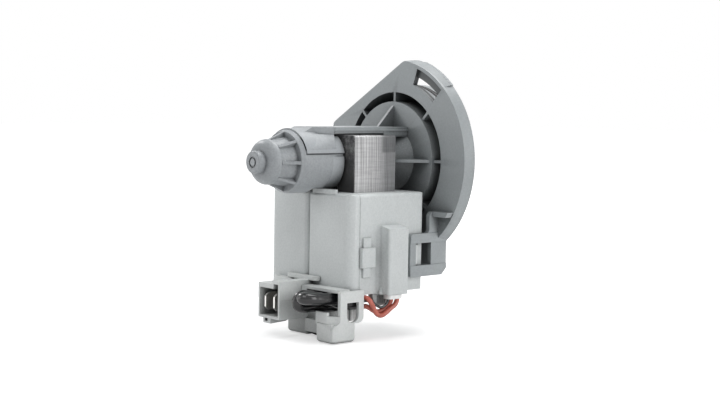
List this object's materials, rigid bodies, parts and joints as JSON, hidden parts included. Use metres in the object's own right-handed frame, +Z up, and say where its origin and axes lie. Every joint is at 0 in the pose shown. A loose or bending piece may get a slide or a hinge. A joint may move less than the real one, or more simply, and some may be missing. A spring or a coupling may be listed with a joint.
{
  "type": "drain pump",
  "caption": "Wet-rotor drain pump for a dishwasher: round flange with a sealed collar, laminated stator with a boxed coil below, ribbed rear cap and an edge connector on its foot.",
  "frame": {"origin": "centre of the flange's front mating face, on the motor axis", "axes": "+Y along the motor axis out of the collar towards the sump, +Z up with the coil housing below the axis, +X towards the side that carries the thermal protector"},
  "size_m": [0.0768, 0.0842, 0.1003],
  "materials": {
    "body_plastic": "filled plastic, satin",
    "cap_plastic": "satin",
    "housing_plastic": "fine satin",
    "laminations": "cut edges of stamped sheet",
    "former_plastic": "satin",
    "copper": "enamelled wire",
    "protector_case": "satin",
    "tinned_tabs": "tinned",
    "black_pvc": "glossy sleeve",
    "red_pvc": "glossy insulation",
    "white_sleeving": "woven glass sleeve",
    "carrier_plastic": "satin",
    "ring_rubber": "smooth",
    "cup_rubber": "smooth",
    "bearing_carbon": "ground",
    "shaft_steel": "ground",
    "hub_plastic": "satin",
    "ferrite": "matte",
    "washer_plastic": "satin",
    "dog_plastic": "satin",
    "impeller_plastic": "satin"
  },
  "bodies": {
    "pump": {"pump_body": "body_plastic", "sealing_ring": "ring_rubber", "rear_cap": "cap_plastic", "cap_saddle": "cap_plastic", "stator_core": "laminations", "stator_yoke": "laminations", "coil_housing": "housing_plastic", "coil_cover_near": "housing_plastic", "coil_cover_far": "housing_plastic", "coil_former_near": "former_plastic", "coil_former_far": "former_plastic", "winding_near": "copper", "winding_far": "copper", "thermal_protector": "protector_case", "terminal_carrier": "housing_plastic", "terminal_tabs": "tinned_tabs", "black_sleeves": "black_pvc", "red_leads": "red_pvc", "thin_lead": "black_pvc", "white_sleeve": "white_sleeving", "bearing_carrier": "carrier_plastic", "carrier_seal": "ring_rubber", "front_bearing_cup": "cup_rubber", "front_bearing": "bearing_carbon", "rear_bearing_cup": "cup_rubber", "rear_bearing": "bearing_carbon"},
    "rotor": {"rotor_shaft": "shaft_steel", "rotor_hub": "hub_plastic", "rotor_magnet": "ferrite", "thrust_washers": "washer_plastic", "drive_dog": "dog_plastic"},
    "impeller": {"impeller": "impeller_plastic", "impeller_lid": "impeller_plastic"}
  },
  "joints": [
    {"name": "rotor_spin", "type": "hinge", "parent": "pump", "child": "rotor", "pos_m": [0, 0, 0], "axis": [0, 1, 0], "continuous": true},
    {"name": "impeller_free_play", "type": "hinge", "parent": "rotor", "child": "impeller", "pos_m": [0, 0, 0], "axis": [0, 1, 0], "range_deg": [-130, 130]}
  ]
}
